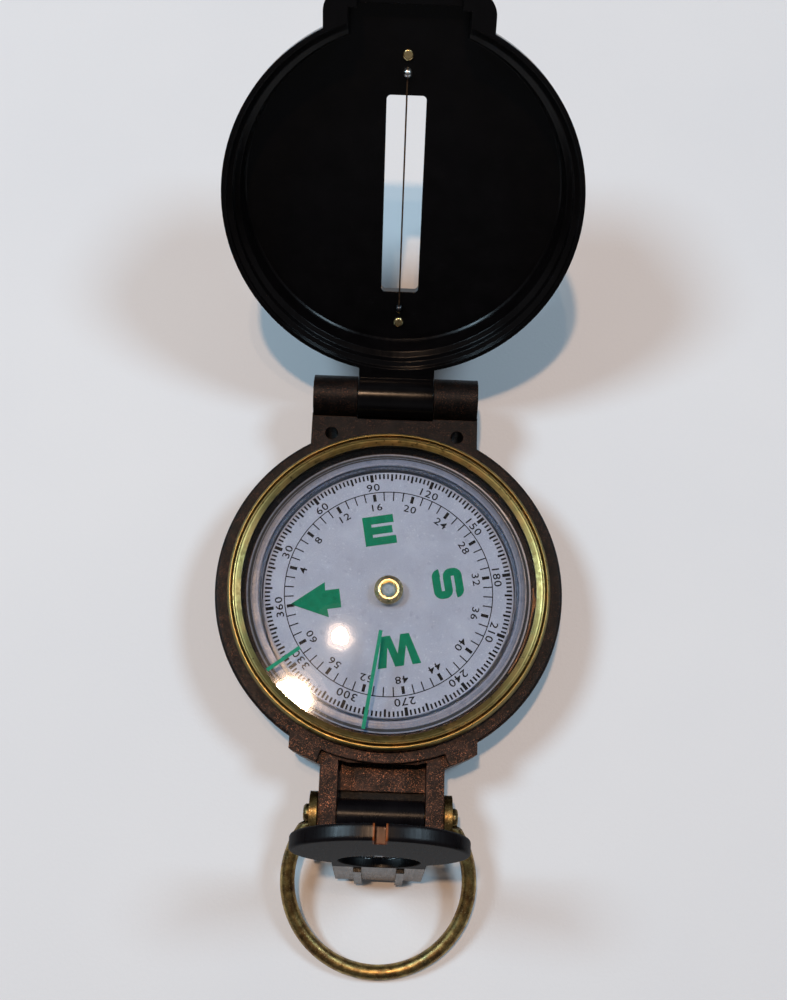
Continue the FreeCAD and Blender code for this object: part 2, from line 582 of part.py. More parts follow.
def make_eyepiece():
    """The eyepiece, drawn upright: a round plate on a shank, with the lens hole and a barrel behind."""
    body = new_body("eyepiece_frame")
    face = "pivot_y - eye_out"
    plate = new_sketch(body, "XZ", "0 - pivot_y + eye_out - eye_thick")
    add_circle(plate, "0", "pivot_z + eye_disc_up", "eye_disc_r")
    raised(body, plate, "eye_thick")
    shank = new_sketch(body, "XZ", "0 - pivot_y + eye_out - eye_thick")
    add_box(shank, "0 - eye_half", "eye_half", "pivot_z - eye_low", "pivot_z + eye_disc_up")
    raised(body, shank, "eye_thick")
    rounded(body, "0.5", lambda edge: isinstance(edge.Curve, Part.Circle)
            and abs(edge.Curve.Radius - number("eye_disc_r")) < TINY)
    shelf = new_sketch(body, "YZ")
    add_box(shelf, face + " + 1", "pivot_y", "pivot_z - eye_shelf_low", "pivot_z + eye_shelf_high")
    across_pad(body, shelf, "2 * eye_half")
    barrel = new_sketch(body, "YZ")
    add_circle(barrel, "pivot_y", "pivot_z", "eye_barrel_r")
    across_pad(body, barrel, "2 * eye_half")
    for middle_x in ("eye_rib_x", "0 - eye_rib_x"):
        rib = new_sketch(body, "XZ", "0 - pivot_y + eye_out - eye_rib_root")
        add_box(rib, f"{middle_x} - eye_rib_half", f"{middle_x} + eye_rib_half",
                "pivot_z - eye_rib_low", "pivot_z + eye_rib_high")
        raised(body, rib, "eye_rib_out + eye_rib_root")
    seat = new_sketch(body, "XZ", "0 - pivot_y + eye_out - eye_thick + eye_seat")
    add_circle(seat, "0", "pivot_z + eye_lens_up", "eye_seat_r")
    cut(body, seat, "eye_thick", backwards=True)
    hole = new_sketch(body, "XZ", "0 - pivot_y + eye_out - eye_thick - 1")
    add_circle(hole, "0", "pivot_z + eye_lens_up", "eye_lens_r")
    cut(body, hole, "eye_thick + 3")
    notch = new_sketch(body, "XZ", "0 - pivot_y + eye_out - eye_thick - 1")
    add_box(notch, "0 - eye_notch_half", "eye_notch_half",
            "pivot_z + eye_disc_up + eye_disc_r - eye_notch_up", "pivot_z + eye_disc_up + eye_disc_r + 1")
    cut(body, notch, "eye_thick + 3")
    bore = new_sketch(body, "YZ")
    add_circle(bore, "pivot_y", "pivot_z", "pin_bore_loose")
    cut(body, bore, "2 * eye_half + 2", centred=True)
    return body


def make_lens():
    """The biconvex lens with a flat rim, in its seat behind the plate, and the ring that keeps it there."""
    front_y = number("pivot_y - eye_out + eye_thick - eye_seat")
    rear_y = front_y + number("lens_edge")
    centre_z = number("pivot_z + eye_lens_up")
    crown, crown_r, rim_r = number("lens_crown"), number("lens_crown_r"), number("lens_r")
    ball_r = (crown_r ** 2 + crown ** 2) / (2 * crown)
    half_r = crown_r / 2
    half_rise = crown - ball_r + math.sqrt(ball_r ** 2 - half_r ** 2)

    def spot(radius, along):
        return FreeCAD.Vector(radius, along, centre_z)

    front, rear = spot(0, front_y - crown), spot(0, rear_y + crown)
    section = Part.Face(Part.Wire([
        Part.Arc(front, spot(half_r, front_y - half_rise), spot(crown_r, front_y)).toShape(),
        Part.LineSegment(spot(crown_r, front_y), spot(rim_r, front_y)).toShape(),
        Part.LineSegment(spot(rim_r, front_y), spot(rim_r, rear_y)).toShape(),
        Part.LineSegment(spot(rim_r, rear_y), spot(crown_r, rear_y)).toShape(),
        Part.Arc(spot(crown_r, rear_y), spot(half_r, rear_y + half_rise), rear).toShape(),
        Part.LineSegment(rear, front).toShape(),
    ]))
    lens = doc.addObject("Part::Feature", "eyepiece_lens")
    lens.Label = "eyepiece_lens"
    lens.Shape = section.revolve(front, FreeCAD.Vector(0, 1, 0), 360)
    ring = doc.addObject("Part::Feature", "lens_retaining_ring")
    ring.Label = "lens_retaining_ring"
    place = FreeCAD.Vector(0, rear_y + number("lens_gap"), centre_z)
    thick = number("lens_ring_thick")
    outer = Part.makeCylinder(number("eye_seat_r"), thick, place, FreeCAD.Vector(0, 1, 0))
    hole = Part.makeCylinder(number("lens_ring_in"), thick, place, FreeCAD.Vector(0, 1, 0))
    ring.Shape = outer.cut(hole)
    return [lens, ring]


# ---------------------------------------------------------------- thumb ring

def make_thumb_ring():
    """The wire ring, drawn level: an open circle whose ends are hammered into flat pierced eyes."""
    pivot = FreeCAD.Vector(0, number("pivot_y"), number("pivot_z"))
    centre = pivot - FreeCAD.Vector(0, number("ring_centre"), 0)
    wire_r, eye_r = number("ring_wire_r"), number("eye_plate_r")
    inner, outer = number("ring_plate_in"), number("ring_plate_out")
    waist_r, waist_long = number("ring_wire_r + ring_waist_more"), number("ring_waist")
    hoop = Part.makeTorus(number("ring_mid_r"), wire_r, centre, FreeCAD.Vector(0, 0, 1))
    half_box = number("2 * ring_mid_r")
    beyond = Part.makeBox(2 * half_box, half_box, half_box,
                          pivot - FreeCAD.Vector(half_box, number("ring_cut_back"), half_box / 2))
    between = Part.makeBox(2 * inner, half_box / 2, half_box,
                           pivot - FreeCAD.Vector(inner, number("ring_between"), half_box / 2))
    hoop = hoop.cut([beyond, between])
    for side in (1, -1):
        across = FreeCAD.Vector(side, 0, 0)
        eye = Part.makeCylinder(eye_r, outer - inner, pivot + across * inner, across)
        corner = FreeCAD.Vector(min(side * inner, side * outer), -number("ring_waist_far"), -waist_r)
        waist = Part.makeBox(outer - inner, waist_long, 2 * waist_r, pivot + corner)
        hoop = hoop.fuse([eye, waist])
    for side in (1, -1):
        across = FreeCAD.Vector(side, 0, 0)
        drill = Part.makeCylinder(number("pin_bore_loose"), outer, pivot, across)
        head_room = Part.makeCylinder(number("ring_head_room_r"), eye_r, pivot + across * outer, across)
        hoop = hoop.cut([drill, head_room])
    ring = doc.addObject("Part::Feature", "thumb_ring")
    ring.Label = "thumb_ring"
    ring.Shape = hoop.removeSplitter()
    return ring


make_base_case()
make_lid_hinge_pin()
make_pivot_pin()
make_capsule()
make_dial()
make_bezel()
make_index_lines()
make_snap_ring()
make_click_spring()
lid_parts = [make_lid_cover()] + make_sight_wire()
eye_parts = [make_eyepiece()] + make_lens()
ring_part = make_thumb_ring()

for part in lid_parts:
    turn_about_x(part, "0 - lid_open", "hinge_y", "hinge_z")
for part in eye_parts:
    turn_about_x(part, "0 - eye_lean", "pivot_y", "pivot_z")
turn_about_x(ring_part, "ring_droop", "pivot_y", "pivot_z")
doc.recompute()

SUB_PARTS = [
    "base_case", "lid_hinge_pin", "eyepiece_and_ring_pin", "capsule_cup", "capsule_seal", "capsule_cover",
    "pivot_post", "bezel_snap_ring", "bezel_click_spring", "dial_card", "dial_hub", "dial_jewel",
    "dial_magnet", "bezel_ring", "crystal", "index_lines", "lid_cover", "sight_wire", "wire_beads",
    "wire_pins", "eyepiece_frame", "eyepiece_lens", "lens_retaining_ring", "thumb_ring",
]

for item in doc.Objects:
    if "Invalid" in item.State or "Error" in item.State:
        raise RuntimeError(item.Label + " did not compute")
for label in SUB_PARTS:
    part = doc.getObjectsByLabel(label)[0]
    if part.Shape.isNull() or not part.Shape.isValid():
        raise RuntimeError(label + " has no valid shape")
    part.Shape.exportStep(f"parts/{label}.step")
    print(f"{label}: {len(part.Shape.Solids)} solid(s), {part.Shape.Volume:.2f} mm3")
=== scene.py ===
import math

import bmesh
import bpy
from mathutils import Euler, Matrix, Vector


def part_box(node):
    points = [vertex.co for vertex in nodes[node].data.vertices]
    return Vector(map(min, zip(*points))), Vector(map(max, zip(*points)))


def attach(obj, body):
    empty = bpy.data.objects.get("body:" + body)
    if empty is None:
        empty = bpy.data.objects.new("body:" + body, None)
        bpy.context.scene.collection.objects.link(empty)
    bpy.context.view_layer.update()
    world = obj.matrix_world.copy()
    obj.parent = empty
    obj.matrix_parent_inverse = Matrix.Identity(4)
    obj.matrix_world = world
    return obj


# Folding sighting compass, lid half open. Lengths are in millimetres, and MM turns them into metres.

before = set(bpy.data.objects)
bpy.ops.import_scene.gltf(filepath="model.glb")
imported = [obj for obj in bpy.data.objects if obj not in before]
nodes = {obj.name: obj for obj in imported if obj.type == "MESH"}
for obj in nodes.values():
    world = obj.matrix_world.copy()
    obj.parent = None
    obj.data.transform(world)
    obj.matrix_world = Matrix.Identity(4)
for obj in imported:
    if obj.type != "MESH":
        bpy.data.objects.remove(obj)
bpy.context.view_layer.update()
scene = bpy.context.scene
MM = 0.001


# ---------------------------------------------------------------- node materials

# Spans over which a look changes: along X, Y or Z, and for the bezel outward from its axis.
FRONT_LIGHT_Y = (-18.0, -29.0)
WELL_TOP_Z = (5.7, 5.2)
WELL_BACK_Y = (-31.6, -32.4)
WELL_SIDE_X = (6.98, 6.9)
NOTCH_SIDE_X = (1.05, 0.75)
NOTCH_FOOT_Z = (40.2, 41.4)
DISH_Z = (18.0, 44.0)
PIN_SHADE_Y = (-41.0, -38.5)
LOWER_BEAD_Z = (45.0, 30.0)
CAPSULE_LIT_WALL_Z = (9.4, 8.4)
BEZEL_LIGHT_BAND_RADII = (23.9, 26.4)

DISH_DEPTH = -9.4
EDGE_WEAR = (0.02, 0.3)


class Look:
    """A Principled material whose textures follow the object, with sizes given in millimetres."""

    def __init__(self, name, **sockets):
        self.material = bpy.data.materials.new(name)
        self.material.use_nodes = True
        self.tree = self.material.node_tree
        self.shader = self.tree.nodes["Principled BSDF"]
        self.out = self.tree.nodes["Material Output"]
        self.coords = self.add("ShaderNodeTexCoord").outputs["Object"]
        for socket, value in sockets.items():
            self.shader.inputs[socket.replace("_", " ")].default_value = value

    def add(self, kind, **values):
        node = self.tree.nodes.new(kind)
        for key, value in values.items():
            setattr(node, key, value)
        return node

    def join(self, source, target):
        """Give a socket a number, a colour or another node's output."""
        if isinstance(source, (int, float)):
            target.default_value = source
        elif isinstance(source, tuple):
            target.default_value = source + (1.0,)
        else:
            self.tree.links.new(source, target)

    def place(self, stretch=(1, 1, 1), shift=0.0):
        """The object's coordinates in millimetres, stretched by axis and shifted."""
        node = self.add("ShaderNodeMapping")
        self.join(self.coords, node.inputs["Vector"])
        node.inputs["Scale"].default_value = [s / MM for s in stretch]
        node.inputs["Location"].default_value = (shift, shift * 0.7, -shift)
        return node.outputs["Vector"]

    def along(self, axis):
        """The coordinate along an axis, in millimetres."""
        node = self.add("ShaderNodeSeparateXYZ")
        self.join(self.place(), node.inputs[0])
        return node.outputs[axis]

    def radius(self):
        """Distance from the dial's axis, in millimetres."""
        node = self.add("ShaderNodeVectorMath", operation="LENGTH")
        self.join(self.place(stretch=(1, 1, 0)), node.inputs[0])
        return node.outputs["Value"]

    def noise(self, size, detail=3.0, rough=0.55, stretch=(1, 1, 1), shift=0.0):
        node = self.add("ShaderNodeTexNoise")
        self.join(self.place(stretch, shift), node.inputs["Vector"])
        node.inputs["Scale"].default_value = 1 / size
        node.inputs["Detail"].default_value = detail
        node.inputs["Roughness"].default_value = rough
        return node.outputs["Fac"]

    def cells(self, size):
        """Small cells, each with a random value of its own."""
        pattern = self.add("ShaderNodeTexVoronoi")
        self.join(self.place(), pattern.inputs["Vector"])
        pattern.inputs["Scale"].default_value = 1 / size
        channels = self.add("ShaderNodeSeparateColor")
        self.join(pattern.outputs["Color"], channels.inputs["Color"])
        return channels.outputs["Red"]

    def rings(self, per_mm):
        """Uneven rings around the dial's axis, as turning leaves them."""
        node = self.add("ShaderNodeTexNoise", noise_dimensions="1D")
        self.join(self.times(self.radius(), per_mm), node.inputs["W"])
        node.inputs["Scale"].default_value = 1.0
        return node.outputs["Fac"]

    def span(self, source, low, high, to_low=0.0, to_high=1.0):
        """Map low..high to to_low..to_high, and hold the value beyond both ends."""
        node = self.add("ShaderNodeMapRange")
        self.join(source, node.inputs["Value"])
        limits = {"From Min": low, "From Max": high, "To Min": to_low, "To Max": to_high}
        for socket, value in limits.items():
            node.inputs[socket].default_value = value
        return node.outputs["Result"]

    def maths(self, operation, first, second=0.0):
        node = self.add("ShaderNodeMath", operation=operation)
        self.join(first, node.inputs[0])
        self.join(second, node.inputs[1])
        return node.outputs[0]

    def times(self, first, second):
        return self.maths("MULTIPLY", first, second)

    def ramp(self, source, stops):
        node = self.add("ShaderNodeValToRGB")
        self.join(source, node.inputs["Fac"])
        points = node.color_ramp.elements
        while len(points) < len(stops):
            points.new(0.5)
        for point, (where, colour) in zip(points, stops):
            point.position = where
            point.color = colour + (1.0,)
        return node.outputs["Color"]

    def mix(self, factor, first, second):
        node = self.add("ShaderNodeMix", data_type="RGBA")
        self.join(factor, node.inputs[0])
        self.join(first, node.inputs[6])
        self.join(second, node.inputs[7])
        return node.outputs[2]

    def stain(self, base, colour, mask, amount):
        """The base, turned towards a colour by this amount where the mask is 1."""
        return self.mix(self.times(mask, amount), base, colour)

    def rounded_normal(self, reach):
        """The surface normal, as if edges were rounded by this radius."""
        bevel = self.add("ShaderNodeBevel", samples=4)
        bevel.inputs["Radius"].default_value = reach * MM
        return bevel.outputs["Normal"]

    def edges(self, reach):
        """1 on edges and corners, 0 on flat areas: how far a rounded normal leaves the true one."""
        dot = self.add("ShaderNodeVectorMath", operation="DOT_PRODUCT")
        self.join(self.rounded_normal(reach), dot.inputs[0])
        self.join(self.add("ShaderNodeNewGeometry").outputs["Normal"], dot.inputs[1])
        return self.span(self.maths("SUBTRACT", 1.0, dot.outputs["Value"]), *EDGE_WEAR)

    def bump(self, *layers, edge=0.0):
        """Bumps, each (height source, depth in millimetres), over an edge rounded by `edge` millimetres."""
        normal = self.rounded_normal(edge) if edge else None
        for source, depth in layers:
            node = self.add("ShaderNodeBump")
            node.inputs["Distance"].default_value = depth * MM
            self.join(source, node.inputs["Height"])
            if normal is not None:
                self.join(normal, node.inputs["Normal"])
            normal = node.outputs["Normal"]
        self.join(normal, self.shader.inputs["Normal"])

    def wear(self, colour, rough=None):
        """Set the base colour, and the roughness where one is given."""
        self.join(colour, self.shader.inputs["Base Color"])
        if rough is not None:
            self.join(rough, self.shader.inputs["Roughness"])

    def colour_so_far(self):
        """The output that the base colour comes from now."""
        return self.shader.inputs["Base Color"].links[0].from_socket

    def let_lamps_through(self, tint):
        """Lamp rays and scattered light pass this clear piece straight, so what is inside is lit once."""
        path = self.add("ShaderNodeLightPath")
        clear = self.add("ShaderNodeBsdfTransparent")
        self.join(tint, clear.inputs["Color"])
        surface = self.shader.outputs[0]
        for ray in ("Is Diffuse Ray", "Is Shadow Ray"):
            mixer = self.add("ShaderNodeMixShader")
            self.join(path.outputs[ray], mixer.inputs[0])
            self.join(surface, mixer.inputs[1])
            self.join(clear.outputs[0], mixer.inputs[2])
            surface = mixer.outputs[0]
        self.join(surface, self.out.inputs["Surface"])


def scaled(colour, factor, lift=0.0):
    return tuple(factor * c + lift for c in colour)


def case_paint():
    """Near-black paint with coppery flakes. Towards the eyepiece end it is painted lighter and more coppery,
    and the flakes show more: painted warm light on the arms.
    """
    look = Look("case_paint", Metallic=0.5, Specular_IOR_Level=0.2)
    tone = look.noise(2.2, 4.0)
    plain = look.ramp(tone, [(0.3, (0.0020, 0.0015, 0.0015)), (0.5, (0.0040, 0.0029, 0.0027)),
                             (0.72, (0.0085, 0.0058, 0.0050))])
    lit_copper = look.ramp(tone, [(0.3, (0.0052, 0.0034, 0.0031)), (0.5, (0.012, 0.0070, 0.0060)),
                              (0.72, (0.032, 0.0165, 0.0125))])
    # painted light: the lighter, more coppery paint and the extra flakes towards the eyepiece end stand in
    # for the warm lamp light there
    lit_front = look.span(look.along("Y"), *FRONT_LIGHT_Y)
    base = look.mix(lit_front, plain, lit_copper)
    flakes = look.cells(0.09)
    sparkle = look.times(look.span(flakes, 0.84, 0.98), look.span(look.noise(1.8, 2.0, shift=7), 0.30, 0.66))
    flakes_lit_in_front = look.times(sparkle, look.span(lit_front, 0.0, 1.0, 0.20, 0.85))
    colour = look.mix(flakes_lit_in_front, base, (0.46, 0.19, 0.105))
    # the shaded well under the eyepiece's barrel
    below = look.span(look.along("Z"), *WELL_TOP_Z)
    ahead = look.span(look.along("Y"), *WELL_BACK_Y)
    between = look.span(look.maths("ABSOLUTE", look.along("X")), *WELL_SIDE_X)
    well = look.times(look.times(below, ahead), between)
    colour = look.mix(well, colour, (0.0025, 0.0020, 0.0020))
    rub = look.times(look.edges(0.22), look.span(look.noise(0.9, 4.0, shift=3), 0.40, 0.65))
    colour = look.stain(colour, (0.26, 0.14, 0.085), rub, 0.45)
    look.wear(colour, look.span(look.noise(0.5, 3.0), 0.3, 0.7, 0.34, 0.55))
    look.bump((look.noise(0.22, 3.0), 0.030), (flakes, 0.006), edge=0.22)
    return look


def black_plastic(name, tint, gloss, shine, scratches, *slopes):
    """Black plastic. Each slope leans the shading: from this Z to this Z, and the heights at both."""
    look = Look(name, IOR=1.42, Specular_IOR_Level=shine)
    tone = look.noise(3.5, 4.0)
    base = look.ramp(tone, [(0.3, tint), (0.75, scaled(tint, 2.0))])
    rub = look.times(look.edges(0.25), look.span(look.noise(0.6, 4.0, shift=5), 0.45, 0.7))
    base = look.stain(base, (0.030, 0.032, 0.036), rub, 0.30)
    scratch = look.noise(0.35, 2.0, stretch=(1, 0.06, 0.06), shift=9)
    look.wear(base, look.span(look.maths("ADD", tone, scratch), 0.7, 1.3, gloss, gloss + 0.10))
    dish = [(look.span(look.along("Z"), *slope), 1.0) for slope in slopes]
    look.bump((look.noise(1.2, 3.0), 0.010), (scratch, scratches), *dish, edge=0.25)
    return look


def eyepiece_plastic():
    """Black plastic whose round face is slightly dished, with a rust-brown spot in the sight notch."""
    dish = (*DISH_Z, 0.0, DISH_DEPTH)
    look = black_plastic("eyepiece_plastic", (0.0026, 0.0022, 0.0028), 0.24, 0.20, 0.0003, dish)
    inside = look.span(look.maths("ABSOLUTE", look.along("X")), *NOTCH_SIDE_X)
    spot = look.times(inside, look.span(look.along("Z"), *NOTCH_FOOT_Z))
    look.wear(look.mix(spot, look.colour_so_far(), (0.34, 0.085, 0.018)))
    return look


def bezel_brass():
    """Turned brass, with painted highlights on the crests of its profile and painted shade in its grooves,
    as bands by distance from the axis.
    """
    look = Look("bezel_brass", Metallic=1.0)
    # painted highlights and shade: bright bands on the crests of the profile, dark bands in its grooves
    base = look.ramp(look.span(look.radius(), *BEZEL_LIGHT_BAND_RADII), [
        (0.0, (0.085, 0.065, 0.028)), (0.30, (0.15, 0.115, 0.042)), (0.42, (0.48, 0.39, 0.15)),
        (0.52, (0.30, 0.21, 0.075)), (0.62, (0.085, 0.060, 0.025)), (0.70, (0.16, 0.11, 0.038)),
        (0.80, (0.74, 0.63, 0.26)), (0.90, (0.34, 0.25, 0.09)), (1.0, (0.10, 0.075, 0.03))])
    tarnish = look.span(look.noise(2.6, 4.0), 0.45, 0.70)
    colour = look.stain(base, (0.17, 0.15, 0.05), tarnish, 0.40)
    rings = look.rings(9.0)
    colour = look.stain(colour, (0.070, 0.050, 0.018), look.span(rings, 0.46, 0.58), 0.60)
    warm = look.span(look.noise(5.0, 2.0, shift=14), 0.45, 0.62)
    colour = look.stain(colour, (0.52, 0.26, 0.09), warm, 0.18)
    look.wear(colour, look.span(look.noise(0.7, 4.0, shift=4), 0.3, 0.7, 0.26, 0.44))
    look.bump((rings, 0.010), (look.noise(0.25, 2.0), 0.004), edge=0.05)
    return look


def hub_brass():
    look = Look("hub_brass", Metallic=1.0)
    tone = look.noise(0.5, 3.0)
    base = look.ramp(tone, [(0.3, (0.80, 0.58, 0.26)), (0.6, (0.92, 0.70, 0.36)), (0.8, (0.60, 0.38, 0.15))])
    look.wear(base, look.span(tone, 0.3, 0.7, 0.16, 0.30))
    look.bump((look.noise(0.12, 2.0), 0.004), edge=0.06)
    return look


def ring_brass():
    """Old drawn brass, greenish in patches and darker near the pin, with bright specks painted on as glints.
    """
    look = Look("ring_brass", Metallic=1.0)
    tone = look.noise(1.8, 5.0, 0.6)
    base = look.ramp(tone, [(0.28, (0.095, 0.052, 0.024)), (0.45, (0.21, 0.125, 0.046)),
                            (0.60, (0.34, 0.245, 0.090)), (0.78, (0.56, 0.44, 0.19))])
    green = look.span(look.noise(4.0, 3.0, shift=11), 0.54, 0.68)
    colour = look.stain(base, (0.085, 0.125, 0.060), green, 0.55)
    near_pin = look.span(look.along("Y"), *PIN_SHADE_Y)
    colour = look.stain(colour, (0.085, 0.062, 0.026), near_pin, 0.55)
    # painted glints: bright gold specks stand in for small glints of light on the brass
    speck = look.span(look.cells(0.11), 0.88, 0.98)
    colour = look.stain(colour, (0.70, 0.58, 0.28), speck, 0.45)
    drawn = look.noise(0.12, 2.0, stretch=(0.3, 1, 1), shift=6)
    look.wear(colour, look.span(look.noise(0.8, 4.0, shift=2), 0.3, 0.7, 0.28, 0.50))
    look.bump((look.noise(0.35, 3.0), 0.022), (drawn, 0.006), edge=0.12)
    return look


def bare_metal(name, dark, light, gloss, grain=0.2):
    look = Look(name, Metallic=1.0)
    tone = look.noise(0.8, 4.0)
    base = look.ramp(tone, [(0.3, dark), (0.7, light)])
    look.wear(base, look.span(tone, 0.3, 0.7, gloss, gloss + 0.16))
    look.bump((look.noise(grain, 3.0), 0.006), edge=0.05)
    return look


def bead_metal():
    """Steel beads: the one near the hinge is coloured darker."""
    look = bare_metal("bead_steel", (0.50, 0.50, 0.50), (0.80, 0.80, 0.78), 0.20)
    lower = look.span(look.along("Z"), *LOWER_BEAD_Z)
    look.wear(look.mix(lower, look.colour_so_far(), (0.05, 0.05, 0.055)))
    return look


def capsule_plastic():
    """Grey-blue plastic with turning marks, painted lighter down its wall: painted light that lifts the
    shade in the gap round the dial.
    """
    look = Look("capsule_plastic", IOR=1.46)
    rings = look.rings(3.2)
    tone = look.noise(2.0, 3.0)
    marks = look.maths("ADD", look.times(rings, 0.7), look.times(tone, 0.3))
    base = look.ramp(marks, [(0.30, (0.135, 0.168, 0.235)), (0.5, (0.165, 0.202, 0.275)),
                             (0.70, (0.21, 0.25, 0.33))])
    # painted light: the wall is painted lighter from Z 9.4 down to 8.4 so the gap round the dial is not dark
    # with shade
    painted_fill_light = look.span(look.along("Z"), *CAPSULE_LIT_WALL_Z)
    base = look.stain(base, (0.62, 0.68, 0.80), painted_fill_light, 0.85)
    look.shader.inputs["Subsurface Weight"].default_value = 0.25
    look.shader.inputs["Subsurface Radius"].default_value = (1.0 * MM, 1.2 * MM, 1.6 * MM)
    look.wear(base, look.span(tone, 0.3, 0.7, 0.22, 0.36))
    look.bump((rings, 0.02), (look.noise(0.4, 2.0), 0.006), edge=0.15)
    return look


def clear_plastic(name, tint, dust, bend):
    """Clear plastic with a few specks of dust. Bend is its index of refraction."""
    look = Look(name, IOR=bend, Transmission_Weight=1.0, Roughness=0.0)
    speck = look.span(look.cells(0.55), 0.985, 0.998)
    haze = look.ramp(look.noise(4.0, 4.0), [(0.3, tint), (0.7, scaled(tint, 0.96))])
    look.wear(look.stain(haze, (0.45, 0.47, 0.52), speck, dust))
    look.bump((look.noise(5.0, 2.0), 0.006))
    look.let_lamps_through(scaled(tint, 0.5, 0.5))
    return look


def lens_glass():
    look = Look("lens_glass", IOR=1.52, Transmission_Weight=1.0, Roughness=0.0)
    smear = look.noise(1.5, 3.0)
    look.wear(look.ramp(smear, [(0.3, (0.97, 0.98, 1.0)), (0.7, (0.90, 0.94, 0.95))]))
    look.bump((look.noise(0.8, 2.0), 0.0006))
    look.let_lamps_through((0.97, 0.98, 0.98))
    return look


def dial_card():
    """Off-white card with pale specks and faint stains."""
    look = Look("dial_card", IOR=1.4, Specular_IOR_Level=0.25)
    base = look.ramp(look.noise(7.0, 4.0), [(0.30, (0.41, 0.42, 0.47)), (0.52, (0.455, 0.465, 0.52)),
                                            (0.75, (0.51, 0.515, 0.56))])
    speck = look.span(look.cells(0.20), 0.965, 0.99)
    base = look.stain(base, (0.85, 0.86, 0.90), speck, 0.30)
    faint = look.span(look.noise(0.5, 5.0, 0.7, shift=8), 0.60, 0.72)
    base = look.stain(base, (0.40, 0.38, 0.42), faint, 0.22)
    look.wear(base, look.span(look.noise(0.4, 3.0), 0.3, 0.7, 0.42, 0.62))
    look.bump((look.noise(0.25, 3.0), 0.008))
    return look


def ink(name, dark, light, gloss=0.5, size=0.3, chips=0.04):
    look = Look(name, Specular_IOR_Level=0.05)
    tone = look.noise(size, 4.0)
    worn = look.span(look.noise(0.12, 3.0, 0.6, shift=4), 0.60, 0.70)
    base = look.stain(look.ramp(tone, [(0.3, dark), (0.7, light)]), scaled(light, 0.5, 0.25), worn, chips)
    look.wear(base, look.span(tone, 0.3, 0.7, gloss - 0.08, gloss + 0.08))
    look.bump((look.noise(0.1, 2.0), 0.004))
    return look


def plain_matter(name, dark, light, gloss, **sockets):
    look = Look(name, **sockets)
    tone = look.noise(0.5, 4.0)
    base = look.ramp(tone, [(0.3, dark), (0.7, light)])
    look.wear(base, look.span(tone, 0.3, 0.7, gloss, gloss + 0.15))
    look.bump((look.noise(0.2, 3.0), 0.008), edge=0.08)
    return look


PAINT = case_paint()
BLACK = black_plastic("black_plastic", (0.0014, 0.0012, 0.0014), 0.14, 0.26, 0.0015)
EYEPIECE = eyepiece_plastic()
BEZEL = bezel_brass()
HUB = hub_brass()
RING = ring_brass()
STEEL = bare_metal("pin_steel", (0.42, 0.42, 0.42), (0.70, 0.70, 0.68), 0.24)
SPRING = bare_metal("spring_bronze", (0.05, 0.027, 0.016), (0.12, 0.070, 0.040), 0.35)
BEAD = bead_metal()
WIRE = bare_metal("wire_bronze", (0.10, 0.06, 0.04), (0.28, 0.17, 0.10), 0.35, 0.1)
CAPSULE = capsule_plastic()
CLEAR = clear_plastic("clear_plastic", (0.93, 0.95, 0.98), 0.3, 1.49)
COVER = clear_plastic("capsule_clear", (0.93, 0.945, 0.975), 0.2, 1.30)
LENS = lens_glass()
CARD = dial_card()
DARK_INK = ink("dial_ink_brown", (0.003, 0.0022, 0.0022), (0.013, 0.008, 0.0065))
GREEN_INK = ink("dial_ink_green", (0.002, 0.178, 0.080), (0.004, 0.220, 0.102), size=1.2)
INDEX = ink("index_green", (0.008, 0.19, 0.105), (0.016, 0.26, 0.155), 0.45, 0.8, 0.2)
RUBBER = plain_matter("seal_rubber", (0.015, 0.015, 0.016), (0.04, 0.04, 0.042), 0.6)
MAGNET = plain_matter("magnet", (0.03, 0.03, 0.032), (0.075, 0.075, 0.08), 0.5)
JEWEL = plain_matter("jewel", (0.12, 0.20, 0.26), (0.24, 0.34, 0.42), 0.05, Coat_Weight=1.0)

FINISH = {
    "base_case": PAINT, "lid_hinge_pin": STEEL, "eyepiece_and_ring_pin": RING, "capsule_cup": CAPSULE,
    "capsule_seal": RUBBER, "capsule_cover": COVER, "pivot_post": STEEL, "bezel_snap_ring": STEEL,
    "bezel_click_spring": SPRING, "dial_card": CARD, "dial_hub": HUB, "dial_jewel": JEWEL,
    "dial_magnet": MAGNET, "bezel_ring": BEZEL, "crystal": CLEAR, "index_lines": INDEX,
    "lid_cover": BLACK, "sight_wire": WIRE, "wire_beads": BEAD, "wire_pins": HUB,
    "eyepiece_frame": EYEPIECE, "eyepiece_lens": LENS, "lens_retaining_ring": BLACK, "thumb_ring": RING,
}
for name, look in FINISH.items():
    for slot in nodes[name].material_slots:
        slot.material = look.material


# ---------------------------------------------------------------- dial print

# Which way the card's north points, in degrees from the object's X axis.
NORTH_TURN = 190.3
CARD_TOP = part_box("dial_card")[1].z / MM
PRINT_LOW, PRINT_HIGH = CARD_TOP - 0.01, CARD_TOP + 0.02

# The outer scale, in degrees. A tick is (every how many degrees, length, width), coarsest first.
DEGREE_STEP = 2
DEGREE_RIM = 20.6
DEGREE_TICKS = ((30, 1.35, 0.56), (10, 1.25, 0.36), (DEGREE_STEP, 0.90, 0.31))
DEGREE_NUMERALS = {"centre": 18.3, "height": 1.28}

# The inner scale, 64 parts to a turn. The wide ticks stop short of its line and the thin ones reach it.
PARTS = 64
PART_FOOT = 15.8
PART_TICKS = ((4, 1.25, 0.52), (1, 1.55, 0.20))
PART_NUMERALS = {"centre": 14.75, "height": 1.22}
LINE_RADIUS, LINE_WIDTH = 17.35, 0.16
BAND_SIDES = 180

NUMERAL_STRETCH = 1.24
NUMERAL_SPACING = 1.12
NUMERAL_WEIGHT = 0.010

